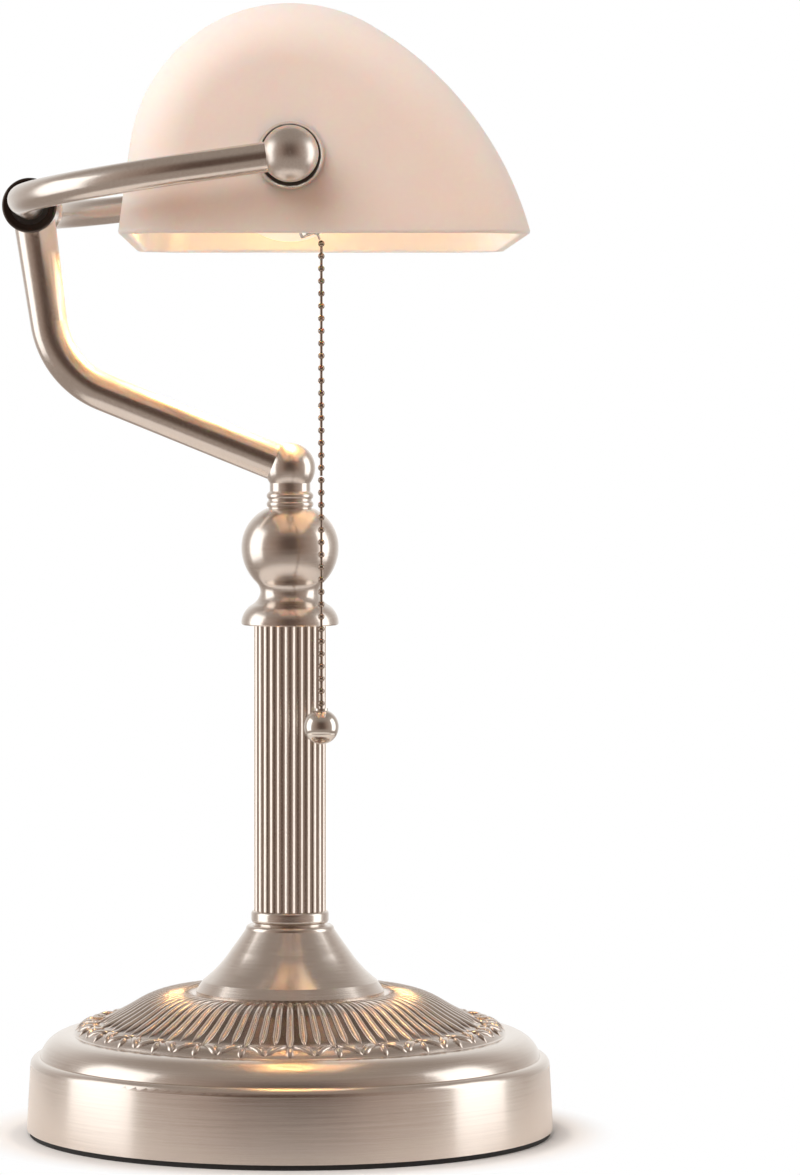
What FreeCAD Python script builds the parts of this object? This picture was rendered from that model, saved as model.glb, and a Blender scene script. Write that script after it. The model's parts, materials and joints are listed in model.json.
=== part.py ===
"""Banker desk lamp: weighted round base, fluted column, bent neck, U-shaped yoke, opal glass shade.

Millimetres.  +Z is up and Z = 0 is the desk.  The column stands on the Z axis.  The shade turns about
an axis parallel to X, straight above the column.  The user sits on the -Y side and the neck bends back
towards +Y.  Left and right are the user's: the pull-chain socket enters from the left (-X) end.
"""
import FreeCAD, Part
import math
import os

V = FreeCAD.Vector
X_AXIS = V(1, 0, 0)
Y_AXIS = V(0, 1, 0)
Z_AXIS = V(0, 0, 1)
tiny = 0.001               # lengths below this count as none

# ---- clearances --------------------------------------------------------------------------------
seat_gap = 0.03            # between fixed parts that fit into or onto each other
run_gap = 0.05             # between a shaft and the bore it could turn in
loose_gap = 0.3            # between parts that never touch
past = 1.0                 # how far a cutting tool reaches past the surface it opens

# ---- foot and base -----------------------------------------------------------------------------
base_radius = 88.9         # skirt at its lower edge
skirt_draft = 1.2          # the skirt narrows this much up to its top
skirt_top_z = 26.3
skirt_edge_round = 2.8
ledge_width = 0.4          # flat ring between the skirt's round edge and the bullnose
bullnose_width = 11.3
bullnose_rise = 7.5
bullnose_middle_deg = 48.0
bead_step = 0.5            # small step where the embossed band starts
band_rise = 13.84          # from the bullnose's inner edge up to the band's crest
band_crest_radius = 37.45
band_bends = ((0.445, 0.361), (0.80, 0.811))   # shares of the band's width and fall, from the crest
band_crown = 1.2           # bulge of the dome next to the crest
band_dip = 0.35
band_bulge = 1.26
seat_drop = 0.45           # the trumpet's seat lies this far below the crest
seat_margin = 0.4
seat_sag = 0.11
cover_wall = 1.0
pad_inset = 0.9
pad_thickness = 1.8
plate_gap = 0.7            # between the base plate and the inside of the skirt
plate_thickness = 1.2
weight_margin = 16.0       # from the base plate's edge in to the weight
weight_thickness = 11.0
weight_hub_radius = 15.0
weight_hub_flare = 6.0
weight_pocket_depth = 8.0
lead_channel_width = 9.0
grommet_radius = 6.5
grommet_bore = 3.75
grommet_length = 8.0
grommet_z = 12.0

# ---- trumpet, collar, column and cap -----------------------------------------------------------
trumpet_lip_radius = 31.8
trumpet_lip = 1.0
trumpet_wall = 1.0
trumpet_height = 23.21
trumpet_toe = (29.45, 4.31)         # radius, and height above the deck
trumpet_waist = (19.96, 14.54)
trumpet_shoulder_radius = 14.9
trumpet_shoulder_drop = 1.5
trumpet_top_radius = 13.4
trumpet_toe_sag = 0.6
trumpet_waist_sag = 0.05
trumpet_shoulder_sag = 0.5
shadow_gap = 0.6
collar_height = 4.9
collar_overhang = 0.6              # beyond the column's ridges
collar_round = 1.2
column_radius = 12.5
column_wall = 1.5
column_length = 98.7
flute_count = 32
flute_depth = 0.55
ring_thickness = 3.0
cap_overlap = 2.3                  # the cap's edge hangs this far below the column's top
cap_edge_overhang = 3.9            # beyond the column's ridges
cap_edge_height = 1.3
cap_edge_chamfer = 0.4
cap_bell = (13.0, 6.7)             # radius, and height above the cap's edge
cap_neck = (10.0, 10.8)
cap_bell_sag = 0.7
cap_neck_sag = 0.55
cap_ball_radius = 16.4
cap_ball_rise = 26.1
cap_top_radius = 8.0
cap_top_rise = 13.1                # above the ball's widest place

# ---- threaded stem -----------------------------------------------------------------------------
stem_radius = 5.0
stem_bore = 3.4
stem_end_gap = 1.6                 # from the base plate up to the stem
nut_flats = 16.0
nut_height = 4.5
washer_radius = 11.0
washer_thickness = 1.2
washer_gap = 2.0

# ---- elbow and bent neck -----------------------------------------------------------------------
elbow_ring_radius = 7.9
elbow_foot = 0.4                   # dark gap between the cap and the first ring
elbow_ring_height = 2.1
elbow_ring_round = 0.55
elbow_groove = 0.7
elbow_groove_depth = 0.6
elbow_neck_radius = 6.85
elbow_neck_chamfer = 0.5
elbow_neck_overlap = 3.0           # how far the neck ends below the ball's centre
elbow_ball_radius = 8.5
elbow_ball_rise = 13.6             # above the cap's top
spigot_length = 10.0
neck_radius = 6.25
neck_top_radius = 7.1
neck_wall = 1.2
neck_rise_deg = 22.1               # slope of the lower run above level
neck_lean_deg = 7.9                # lean of the upper run from upright
neck_bend_radius = 30.0

# ---- sleeve and yoke ---------------------------------------------------------------------------
sleeve_y = 86.5
sleeve_rise = 87.5                 # above the elbow ball's centre
sleeve_wall = 4.4
sleeve_waist = 0.7                 # the waist is this much smaller than the lips
sleeve_half_length = 22.0
sleeve_lip_width = 3.2
sleeve_bevel = 0.8
sleeve_bore_gap = 0.6              # between the yoke tube and the middle of the sleeve's bore
bush_wall = 1.6
bush_length = 9.0
bush_recess = 0.4
yoke_radius = 4.75
yoke_wall = 1.0
yoke_corner_radius = 60.0
yoke_end_gap = 3.0                 # from the pivot axis to the end of each arm
grub_radius = 2.0
grub_recess = 0.4
grub_key = 1.1
grub_key_depth = 1.6

# ---- pivot hardware ----------------------------------------------------------------------------
pivot_rise = 12.2                  # above the sleeve's axis
arm_ball_radius = 8.9
ball_boss_radius = 6.2
ball_boss_height = 0.9
nipple_radius = 5.0
nipple_bore = 3.4
nipple_end_gap = 0.35              # between a nipple's end and the yoke tube
nipple_left_reach = 1.0            # how far the left nipple reaches into the socket cap
nipple_right_reach = 2.0           # how far the right nipple reaches past its nut
cup_radius = 10.75
cup_height = 3.5
cup_rim_depth = 0.8
cup_rim_width = 1.2
cup_back_radius = 7.4
cup_sag = 0.9
rubber_radius = 9.4
rubber_thickness = 1.2
rubber_gap = 0.2
clamp_washer_radius = 9.0
clamp_washer_thickness = 1.0
clamp_nut_flats = 14.0
clamp_nut_height = 4.0
shade_hole_gap = 0.7

# ---- glass shade -------------------------------------------------------------------------------
shade_half_length = 112.5
shade_wall = 3.8
shade_end_round = 18.0
shade_rim_round = 1.1
rim_drop = 24.2                    # from the pivot axis down to the rim
crown_radius = 51.3
crown_drop = 2.2                   # the crown's centre lies this far below the pivot axis
front_radius = 109.3
front_turn_deg = 29.9              # from upright to where the crown runs into the front
rear_lean_deg = 7.74

# ---- bulb --------------------------------------------------------------------------------------
globe_radius = 22.5
globe_x = 38.0
globe_wall = 0.8
bulb_neck_round = 30.0
bulb_neck_depth = 5.0              # how far the glass neck reaches into the base
bulb_base_radius = 13.1
bulb_base_wall = 0.3
bulb_base_end_x = 5.0
bulb_insulator_length = 3.0
bulb_insulator_lip = 0.5
bulb_tip_thickness = 1.0

# ---- socket, along the pivot axis --------------------------------------------------------------
socket_mouth_x = 1.0
socket_length = 44.0               # from the mouth to the shell's closed end
screw_shell_gap = 0.4
screw_shell_wall = 0.4
screw_shell_recess = 2.0
liner_clearance = 1.5              # between the screw shell and the liner
liner_thickness = 0.5
liner_recess = 0.5
socket_shell_wall = 0.5
socket_cap_lap = 3.0               # how far the cap reaches over the shell
socket_cap_dome = 6.0
socket_cap_wall = 0.7
socket_cap_hub_wall = 2.2
socket_cap_hub_length = 6.0
socket_cap_hub_lap = 0.5
socket_cap_corner = 1.0            # the dome starts this far behind the shell
socket_cap_sag = 1.3
interior_length = 19.0
contact_radius = 4.0
contact_recess = 2.0
contact_reach = 3.0                # how far the contact stands out to meet the bulb's tip
contact_gap = 1.0
terminal_radius = 2.2
terminal_gap = 0.5
terminal_height = 1.6
terminal_recess = 2.0
terminal_slot = (0.6, 0.7)         # depth and width
terminal_offset = 8.0
slug_bore_start = 2.0              # distance from the pivot axis to the inner end of the slug's bore
chain_inset = 8.0                  # from the shell's closed end to the chain's outlet
chain_tilt_deg = 22.2              # the outlet points this far forward of straight down
guide_wall = 1.3
guide_bore = 2.9
guide_lip = 1.5                    # the lip stands this far out from the tube
guide_lip_round = 0.5
guide_flare = (4.5, 3.6)           # lengths of the flare outside and inside
guide_flare_sag = (0.5, 0.6)
guide_start = 11.0                 # distance from the pivot axis
guide_reach = 6.97                 # from the socket shell's outside to the outlet's end
slug_radius = 2.4
slug_length = 5.0
slug_link = 0.6                    # bare link between the slug and its first bead

# ---- pull chain --------------------------------------------------------------------------------
bead_radius = 1.1
bead_pitch = 4.1
link_radius = 0.45
chain_gap = 3.93                   # from the outlet's end to the first hanging bead's centre
inner_bead_count = 3
upper_bead_count = 19
lower_bead_count = 19
end_ball_radius = 5.8
end_ball_drop = 7.7                # from the last bead down to the ball's centre
end_ball_seam_drop = 2.2
end_ball_seam = 0.3
end_ball_seam_depth = 0.45
end_ball_dish_radius = 2.2
end_ball_dish_height = 6.1  # ---- places that follow from the sizes ---------------------------------------------------------
skirt_top_radius = base_radius - skirt_draft
plate_radius = skirt_top_radius - cover_wall - plate_gap
weight_radius = plate_radius - weight_margin
weight_bottom_z = pad_thickness + plate_thickness
weight_top_z = weight_bottom_z + weight_thickness
pocket_top_z = weight_bottom_z + weight_pocket_depth
ledge_radius = skirt_top_radius - skirt_edge_round - ledge_width
bullnose_inner_radius = ledge_radius - bullnose_width
band_bottom_z = skirt_top_z + bullnose_rise
deck_z = band_bottom_z + band_rise - seat_drop
trumpet_top_z = deck_z + trumpet_height
collar_top_z = trumpet_top_z + collar_height
column_bore = column_radius - column_wall
column_top_z = collar_top_z + column_length
cap_edge_z = column_top_z - cap_overlap
cap_edge_radius = column_radius + cap_edge_overhang
cap_neck_z = cap_edge_z + cap_neck[1]
cap_ball_z = cap_edge_z + cap_ball_rise
cap_top_z = cap_ball_z + cap_top_rise
elbow_center = V(0, 0, cap_top_z + elbow_ball_rise)
stem_bottom_z = weight_bottom_z + stem_end_gap
stem_top_z = elbow_center.z - stem_radius
sleeve_center = V(0, sleeve_y, elbow_center.z + sleeve_rise)
pivot_z = sleeve_center.z + pivot_rise
bush_radius = yoke_radius + run_gap + bush_wall
sleeve_radius = yoke_radius + sleeve_wall
sleeve_waist_radius = sleeve_radius - sleeve_waist
yoke_reach = math.hypot(sleeve_y, pivot_rise)
yoke_slope_deg = math.degrees(math.atan2(pivot_rise, sleeve_y))
cup_inner = shade_half_length + rubber_thickness
cup_outer = cup_inner + cup_height
yoke_half_width = cup_outer + ball_boss_height + arm_ball_radius
nipple_end = yoke_half_width - yoke_radius - nipple_end_gap
shade_hole_radius = nipple_radius + shade_hole_gap
clamp_washer_outer = shade_half_length - shade_wall - rubber_thickness
clamp_nut_outer = clamp_washer_outer - clamp_washer_thickness
screw_shell_bore = bulb_base_radius + screw_shell_gap
screw_shell_radius = screw_shell_bore + screw_shell_wall
liner_bore = screw_shell_radius + liner_clearance
liner_radius = liner_bore + liner_thickness
socket_shell_radius = liner_radius + seat_gap + socket_shell_wall
interior_radius = liner_bore - seat_gap
socket_cap_hub_radius = nipple_radius + socket_cap_hub_wall
socket_back_x = socket_mouth_x - socket_length
interior_end_x = socket_back_x + interior_length
socket_hub_end_x = socket_back_x - socket_cap_dome - socket_cap_hub_length
chain_x = socket_back_x + chain_inset
guide_radius = guide_bore + guide_wall
guide_end = socket_shell_radius + guide_reach
chain_hang = guide_end + chain_gap
tip_x = interior_end_x - contact_recess + contact_reach
bulb_base_start_x = tip_x + bulb_tip_thickness + bulb_insulator_length


# ---- construction helpers ----------------------------------------------------------------------
def point_at(radius, height):
    """A point of a turned part's half outline."""
    return V(radius, 0, height)


def half_outline(start, *steps):
    """Closed face of a turned part: a step is (r, z) for a line, or (middle, end) for an arc."""
    edges = []
    here = point_at(*start)
    for step in steps:
        if isinstance(step[0], tuple):
            middle = point_at(*step[0])
            end = point_at(*step[1])
            edges.append(Part.Arc(here, middle, end).toShape())
        else:
            end = point_at(*step)
            edges.append(Part.makeLine(here, end))
        here = end
    first = point_at(*start)
    if here.distanceToPoint(first) > tiny:
        edges.append(Part.makeLine(here, first))
    return Part.Face(Part.Wire(edges))


def turned(start, *steps):
    """Solid of revolution about Z."""
    return half_outline(start, *steps).revolve(V(0, 0, 0), Z_AXIS, 360)


def cylinder(radius, low, high):
    """Upright cylinder between two heights."""
    return Part.makeCylinder(radius, high - low, V(0, 0, low))


def ring(outer, inner, low, high):
    """Upright tube between two heights."""
    return cylinder(outer, low, high).cut(cylinder(inner, low - past, high + past))


def hexagon(flats, bore, low, high):
    """Hexagonal nut between two heights."""
    corner = flats / math.sqrt(3)
    points = [V(corner * math.cos(math.radians(60 * i)), corner * math.sin(math.radians(60 * i)), low)
              for i in range(7)]
    prism = Part.Face(Part.makePolygon(points)).extrude(V(0, 0, high - low))
    return prism.cut(cylinder(bore, low - past, high + past))


def moved(shape, x=0.0, y=0.0, z=0.0):
    """Copy of a shape, shifted."""
    result = shape.copy()
    result.translate(V(x, y, z))
    return result


def joined(shapes):
    """One solid from shapes that overlap."""
    return shapes[0].multiFuse(shapes[1:]).removeSplitter()


def group(shapes):
    """Separate solids kept in one file."""
    return Part.makeCompound(shapes)


def along_pivot(shape, side):
    """Lay a Z-axis part on the pivot axis: its z becomes the distance towards one side."""
    result = shape.copy()
    result.rotate(V(0, 0, 0), Y_AXIS, 90 * side)
    result.translate(V(0, 0, pivot_z))
    return result


def both_ends(shape):
    """The same part at the left and at the right end."""
    return group([along_pivot(shape, -1), along_pivot(shape, 1)])


def along_outlet(shape):
    """Lay a Z-axis part on the chain outlet: its z becomes the distance from the pivot axis."""
    result = shape.copy()
    result.rotate(V(0, 0, 0), X_AXIS, 180 - chain_tilt_deg)
    result.translate(V(chain_x, 0, pivot_z))
    return result


def polar(radius, angle_deg, center=(0.0, 0.0)):
    """Point of a circle in a half outline."""
    angle = math.radians(angle_deg)
    return (center[0] + radius * math.cos(angle), center[1] + radius * math.sin(angle))


def sagged(start, end, sag):
    """Arc step from start to end whose middle stands sag to the left of the chord."""
    along = (end[0] - start[0], end[1] - start[1])
    length = math.hypot(*along)
    middle = ((start[0] + end[0]) / 2 - along[1] / length * sag,
              (start[1] + end[1]) / 2 + along[0] / length * sag)
    return (middle, end)


# ---- base --------------------------------------------------------------------------------------
def on_band(bend):
    """Point of the embossed band at a share of its width and fall."""
    width = band_outer[0] - band_inner[0]
    fall = band_inner[1] - band_outer[1]
    return (band_inner[0] + bend[0] * width, band_inner[1] - bend[1] * fall)


band_outer = (bullnose_inner_radius - bead_step, band_bottom_z + bead_step / 2)
band_inner = (band_crest_radius, deck_z + seat_drop)
band_shoulder = on_band(band_bends[0])
band_knee = on_band(band_bends[1])


def base_outline(bottom_z):
    """Half outline of the base cover's outside, closed along the axis."""
    skirt_end = (skirt_top_radius, skirt_top_z - skirt_edge_round)
    edge_middle = polar(skirt_edge_round, 45, (skirt_top_radius - skirt_edge_round, skirt_end[1]))
    swing = math.radians(bullnose_middle_deg)
    nose_middle = (bullnose_inner_radius + bullnose_width * math.cos(swing),
                   skirt_top_z + bullnose_rise * math.sin(swing))
    return half_outline(
        (0, bottom_z),
        (base_radius, bottom_z),
        skirt_end,
        (edge_middle, (skirt_top_radius - skirt_edge_round, skirt_top_z)),
        (ledge_radius, skirt_top_z),
        (nose_middle, (bullnose_inner_radius, band_bottom_z)),
        band_outer,
        sagged(band_outer, band_knee, -band_bulge),
        sagged(band_knee, band_shoulder, band_dip),
        sagged(band_shoulder, band_inner, -band_crown),
        sagged(band_inner, (trumpet_lip_radius + seat_margin, deck_z), -seat_sag),
        (0, deck_z),
    )


def skirt_hole(radius):
    """Cylinder along the grommet's axis, through the rear of the skirt."""
    inside = base_radius - grommet_length
    return Part.makeCylinder(radius, grommet_length + past, V(0, inside, grommet_z), Y_AXIS)


def base_cover():
    outside = base_outline(pad_thickness)
    hollow = base_outline(pad_thickness - 3 * cover_wall).makeOffset2D(-cover_wall)
    shell = outside.revolve(V(0, 0, 0), Z_AXIS, 360).cut(hollow_core(hollow))
    shell = shell.cut(cylinder(stem_radius + seat_gap, deck_z - cover_wall - past, deck_z + past))
    return shell.cut(skirt_hole(grommet_radius + seat_gap))


def hollow_core(face):
    """Turn an inset outline, filling the thin gap that the inset leaves along the axis."""
    core = face.revolve(V(0, 0, 0), Z_AXIS, 360)
    box = face.BoundBox
    return core.fuse(cylinder(2 * cover_wall, box.ZMin, box.ZMax))


def foot_pad():
    return cylinder(base_radius - pad_inset, 0, pad_thickness)


def base_plate():
    return cylinder(plate_radius, pad_thickness, pad_thickness + plate_thickness)


def base_weight():
    deck_underside = deck_z - cover_wall
    body = turned(
        (0, weight_bottom_z),
        (weight_radius, weight_bottom_z),
        (weight_radius, weight_top_z),
        (weight_hub_radius + weight_hub_flare, weight_top_z),
        (weight_hub_radius, weight_top_z + weight_hub_flare),
        (weight_hub_radius, deck_underside),
        (0, deck_underside),
    )
    body = body.cut(cylinder(stem_radius + seat_gap, 0, deck_z))
    body = body.cut(cylinder(washer_radius + washer_gap, 0, pocket_top_z))
    channel = Part.makeBox(lead_channel_width, weight_radius + past, weight_pocket_depth,
                           V(-lead_channel_width / 2, 0, weight_bottom_z))
    return body.cut(channel)


def cord_grommet():
    outside = base_outline(pad_thickness).revolve(V(0, 0, 0), Z_AXIS, 360)
    return skirt_hole(grommet_radius).common(outside).cut(skirt_hole(grommet_bore))


def stem_washer():
    return ring(washer_radius, stem_radius + seat_gap, pocket_top_z - washer_thickness, pocket_top_z)


def stem_nut():
    top = pocket_top_z - washer_thickness
    return hexagon(nut_flats, stem_radius + seat_gap, top - nut_height, top)


def threaded_stem():
    return ring(stem_radius, stem_bore, stem_bottom_z, stem_top_z)


# ---- trumpet, collar, column and cap -----------------------------------------------------------
def trumpet_outline(inset):
    """Half outline of the trumpet, drawn inset from its outside."""
    lip = (trumpet_lip_radius - inset, deck_z)
    lip_top = (trumpet_lip_radius - inset, deck_z + trumpet_lip)
    toe = (trumpet_toe[0], deck_z + trumpet_toe[1] - inset)
    waist = (trumpet_waist[0] - inset, deck_z + trumpet_waist[1] - inset / 2)
    shoulder = (trumpet_shoulder_radius - inset, trumpet_top_z - trumpet_shoulder_drop - inset / 2)
    top = (trumpet_top_radius - inset / 2, trumpet_top_z - inset)
    return half_outline(
        (0, deck_z),
        lip,
        lip_top,
        toe,
        sagged(toe, waist, trumpet_toe_sag),
        sagged(waist, shoulder, trumpet_waist_sag),
        sagged(shoulder, top, -trumpet_shoulder_sag),
        (0, top[1]),
    )


def base_trumpet():
    outside = trumpet_outline(0).revolve(V(0, 0, 0), Z_AXIS, 360)
    inside = trumpet_outline(trumpet_wall).revolve(V(0, 0, 0), Z_AXIS, 360)
    shell = outside.cut(inside)
    return shell.cut(cylinder(stem_radius + seat_gap, deck_z - past, trumpet_top_z + past))


def column_collar():
    step = trumpet_top_z + shadow_gap
    collar_radius = column_radius + collar_overhang
    round_size = collar_round
    body = turned(
        (0, trumpet_top_z),
        (collar_radius - round_size, trumpet_top_z),
        (collar_radius - round_size, step),
        (polar(round_size, -45, (collar_radius - round_size, step + round_size)),
         (collar_radius, step + round_size)),
        (collar_radius, collar_top_z - round_size),
        (polar(round_size, 45, (collar_radius - round_size, collar_top_z - round_size)),
         (collar_radius - round_size, collar_top_z)),
        (0, collar_top_z),
    )
    return body.cut(cylinder(stem_radius + seat_gap, trumpet_top_z - past, collar_top_z + past))


def fluted_face(radius, height):
    """Round face whose edge is scalloped by shallow flutes."""
    edges = []
    pitch = 360.0 / flute_count
    for i in range(flute_count):
        start = polar(radius, (i - 0.5) * pitch)
        middle = polar(radius - flute_depth, i * pitch)
        end = polar(radius, (i + 0.5) * pitch)
        edges.append(Part.Arc(V(*start, height), V(*middle, height), V(*end, height)).toShape())
    return Part.Face(Part.Wire(edges))


def column_tube():
    body = fluted_face(column_radius, collar_top_z).extrude(V(0, 0, column_top_z - collar_top_z))
    return body.cut(cylinder(column_bore, collar_top_z - past, column_top_z + past))


def column_rings():
    outer = column_bore - seat_gap
    inner = stem_radius + seat_gap
    low = ring(outer, inner, collar_top_z, collar_top_z + ring_thickness)
    high = ring(outer, inner, column_top_z - ring_thickness, column_top_z)
    return group([low, high])


def cap_neck_join():
    """Where the cap's neck round meets its ball: the round's radius and the meeting point."""
    rise = cap_ball_z - cap_neck_z
    offset = rise ** 2 + cap_neck[0] ** 2 - cap_ball_radius ** 2
    radius = offset / (2 * (cap_ball_radius - cap_neck[0]))
    share = cap_ball_radius / (cap_ball_radius + radius)
    meet = ((cap_neck[0] + radius) * share, cap_ball_z - rise * share)
    return radius, meet


def cap_shoulder_middle():
    """Middle of the arc that leaves the ball's widest place upright and runs in to the cap's top."""
    inward = cap_ball_radius - cap_top_radius
    radius = (inward ** 2 + cap_top_rise ** 2) / (2 * inward)
    sweep = math.degrees(math.asin(cap_top_rise / radius))
    return polar(radius, sweep / 2, (cap_ball_radius - radius, cap_ball_z))


def column_cap():
    neck_round, meet = cap_neck_join()
    neck = (cap_neck[0], cap_neck_z)
    swing = math.degrees(math.asin((meet[1] - cap_neck_z) / neck_round))
    neck_middle = polar(neck_round, 180 - swing / 2, (cap_neck[0] + neck_round, cap_neck_z))
    dip_deg = math.degrees(math.asin((cap_ball_z - meet[1]) / cap_ball_radius))
    ball_middle = polar(cap_ball_radius, -dip_deg / 2, (0, cap_ball_z))
    edge_top = (cap_edge_radius, cap_edge_z + cap_edge_height)
    bell = (cap_bell[0], cap_edge_z + cap_bell[1])
    top = (cap_top_radius, cap_top_z)
    recess = column_radius + loose_gap
    body = turned(
        (0, cap_edge_z),
        (cap_edge_radius - cap_edge_chamfer, cap_edge_z),
        (cap_edge_radius, cap_edge_z + cap_edge_chamfer),
        edge_top,
        sagged(edge_top, bell, -cap_bell_sag),
        sagged(bell, neck, cap_neck_sag),
        (neck_middle, meet),
        (ball_middle, (cap_ball_radius, cap_ball_z)),
        (cap_shoulder_middle(), top),
        (0, cap_top_z),
    )
    body = body.cut(cylinder(recess, cap_edge_z - past, column_top_z))
    return body.cut(cylinder(stem_radius + seat_gap, cap_edge_z, cap_top_z + past))


# ---- elbow and neck ----------------------------------------------------------------------------
def neck_direction(angle_deg):
    """Unit direction of a neck run that climbs at an angle above level, towards the rear."""
    angle = math.radians(angle_deg)
    return V(0, math.cos(angle), math.sin(angle))


lower_run = neck_direction(neck_rise_deg)
upper_run = neck_direction(90 - neck_lean_deg)


def neck_corner():
    """Where the two straight neck runs would cross."""
    span = sleeve_center - elbow_center
    turn = lower_run.y * upper_run.z - lower_run.z * upper_run.y
    length = (span.y * upper_run.z - span.z * upper_run.y) / turn
    return elbow_center + lower_run * length


def neck_core(radius, top_radius):
    """Solid core of the bent neck, from the elbow ball's centre to the sleeve's axis."""
    corner = neck_corner()
    turn_deg = 90 - neck_lean_deg - neck_rise_deg
    tangent = neck_bend_radius * math.tan(math.radians(turn_deg / 2))
    bend_start = corner - lower_run * tangent
    bend_end = corner + upper_run * tangent
    low = Part.makeCylinder(radius, (bend_start - elbow_center).Length, elbow_center, lower_run)
    high = Part.makeCone(radius, top_radius, (sleeve_center - bend_end).Length, bend_end, upper_run)
    inward = V(0, -lower_run.z, lower_run.y)
    bend_center = bend_start + inward * neck_bend_radius
    disc = Part.Face(Part.Wire(Part.makeCircle(radius, bend_start, lower_run)))
    bend = disc.revolve(bend_center, X_AXIS, turn_deg)
    return joined([low, bend, high])


def neck_elbow():
    base = cap_top_z
    step = base + elbow_foot
    first = step + elbow_ring_height
    second = first + elbow_groove
    third = second + elbow_ring_height
    groove = elbow_ring_radius - elbow_groove_depth
    edge = elbow_ring_radius - elbow_ring_round
    neck_end = elbow_center.z - elbow_neck_overlap
    body = turned(
        (0, base),
        (groove, base),
        (groove, step),
        (edge, step),
        ((elbow_ring_radius, (step + first) / 2), (edge, first)),
        (groove, first),
        (groove, second),
        (edge, second),
        ((elbow_ring_radius, (second + third) / 2), (edge, third)),
        (elbow_neck_radius, third + elbow_neck_chamfer),
        (elbow_neck_radius, neck_end),
        (0, neck_end),
    )
    ball = Part.makeSphere(elbow_ball_radius, elbow_center)
    spigot_radius = neck_radius - neck_wall - seat_gap
    spigot = Part.makeCylinder(spigot_radius, elbow_ball_radius + spigot_length, elbow_center, lower_run)
    body = joined([body, ball, spigot])
    body = body.cut(cylinder(stem_radius + seat_gap, base - past, stem_top_z))
    body = body.cut(cylinder(stem_bore, base - past, elbow_center.z))
    reach = elbow_ball_radius + spigot_length + past
    bore = Part.makeCylinder(stem_bore, reach, elbow_center, lower_run)
    return body.cut(bore.fuse(Part.makeSphere(stem_bore, elbow_center)))


def neck_tube():
    tube = neck_core(neck_radius, neck_top_radius)
    tube = tube.cut(neck_core(neck_radius - neck_wall, neck_top_radius - neck_wall))
    tube = tube.cut(Part.makeSphere(elbow_ball_radius + seat_gap, elbow_center))
    saddle = Part.makeCylinder(sleeve_waist_radius + seat_gap, 4 * sleeve_waist_radius,
                               sleeve_center - X_AXIS * 2 * sleeve_waist_radius, X_AXIS)
    return tube.cut(saddle)


# ---- sleeve and yoke ---------------------------------------------------------------------------
def on_sleeve_axis(shape):
    """Lay a Z-axis part on the sleeve's axis."""
    result = shape.copy()
    result.rotate(V(0, 0, 0), Y_AXIS, 90)
    result.translate(sleeve_center)
    return result


def yoke_sleeve():
    half = sleeve_half_length
    bevel = sleeve_bevel
    inner_lip = half - sleeve_lip_width
    body = turned(
        (0, -half),
        (sleeve_radius - bevel, -half),
        (polar(bevel, -45, (sleeve_radius - bevel, -half + bevel)), (sleeve_radius, -half + bevel)),
        (sleeve_radius, -inner_lip - bevel),
        (sleeve_waist_radius, -inner_lip),
        (sleeve_waist_radius, inner_lip),
        (sleeve_radius, inner_lip + bevel),
        (sleeve_radius, half - bevel),
        (polar(bevel, 45, (sleeve_radius - bevel, half - bevel)), (sleeve_radius - bevel, half)),
        (0, half),
    )
    body = body.cut(cylinder(yoke_radius + sleeve_bore_gap, -half - past, half + past))
    for low in (-half - past, half - bush_length):
        body = body.cut(cylinder(bush_radius + seat_gap, low, low + bush_length + past))
    body = on_sleeve_axis(body)
    reach = sleeve_radius + past
    lead_hole = Part.makeCylinder(stem_bore, reach, sleeve_center - upper_run * reach, upper_run)
    return body.cut(lead_hole).cut(grub_hole(grub_radius + seat_gap, 2 * sleeve_radius))


def sleeve_bushes():
    half = sleeve_half_length
    depth = bush_length - seat_gap
    bush = ring(bush_radius, yoke_radius + run_gap, half - depth, half - bush_recess)
    return group([on_sleeve_axis(bush), on_sleeve_axis(bush.mirror(V(0, 0, 0), Z_AXIS))])


def grub_hole(radius, length):
    """Cylinder on the grub screw's axis: from the yoke tube out to the rear of the sleeve."""
    rear = V(0, 1, 0)
    return Part.makeCylinder(radius, length, sleeve_center + rear * (yoke_radius + seat_gap), rear)


def sleeve_grub_screw():
    screw = grub_hole(grub_radius, sleeve_waist_radius - yoke_radius - grub_recess)
    floor = sleeve_center + V(0, sleeve_waist_radius - grub_recess - grub_key_depth, 0)
    points = []
    for i in range(7):
        across, up = polar(grub_key, 60 * i)
        points.append(floor + V(across, 0, up))
    key = Part.Face(Part.makePolygon(points)).extrude(V(0, 2 * grub_key_depth, 0))
    return screw.cut(key)


def yoke_core(radius):
    """Solid core of the U: modelled level with the pivot at the origin, then tilted into place."""
    bend_y = yoke_reach - yoke_corner_radius
    bend_x = yoke_half_width - yoke_corner_radius
    pieces = [Part.makeCylinder(radius, 2 * bend_x, V(-bend_x, yoke_reach, 0), X_AXIS)]
    for side in (-1, 1):
        arm_start = V(side * yoke_half_width, yoke_end_gap, 0)
        pieces.append(Part.makeCylinder(radius, bend_y - yoke_end_gap, arm_start, Y_AXIS))
        disc = Part.Face(Part.Wire(Part.makeCircle(radius, V(side * yoke_half_width, bend_y, 0), Y_AXIS)))
        pieces.append(disc.revolve(V(side * bend_x, bend_y, 0), Z_AXIS, 90 * side))
    return joined(pieces)


def in_yoke_plane(shape):
    """Tilt a level shape about the pivot axis into the yoke's plane."""
    result = shape.copy()
    result.rotate(V(0, 0, 0), X_AXIS, -yoke_slope_deg)
    result.translate(V(0, 0, pivot_z))
    return result


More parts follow.
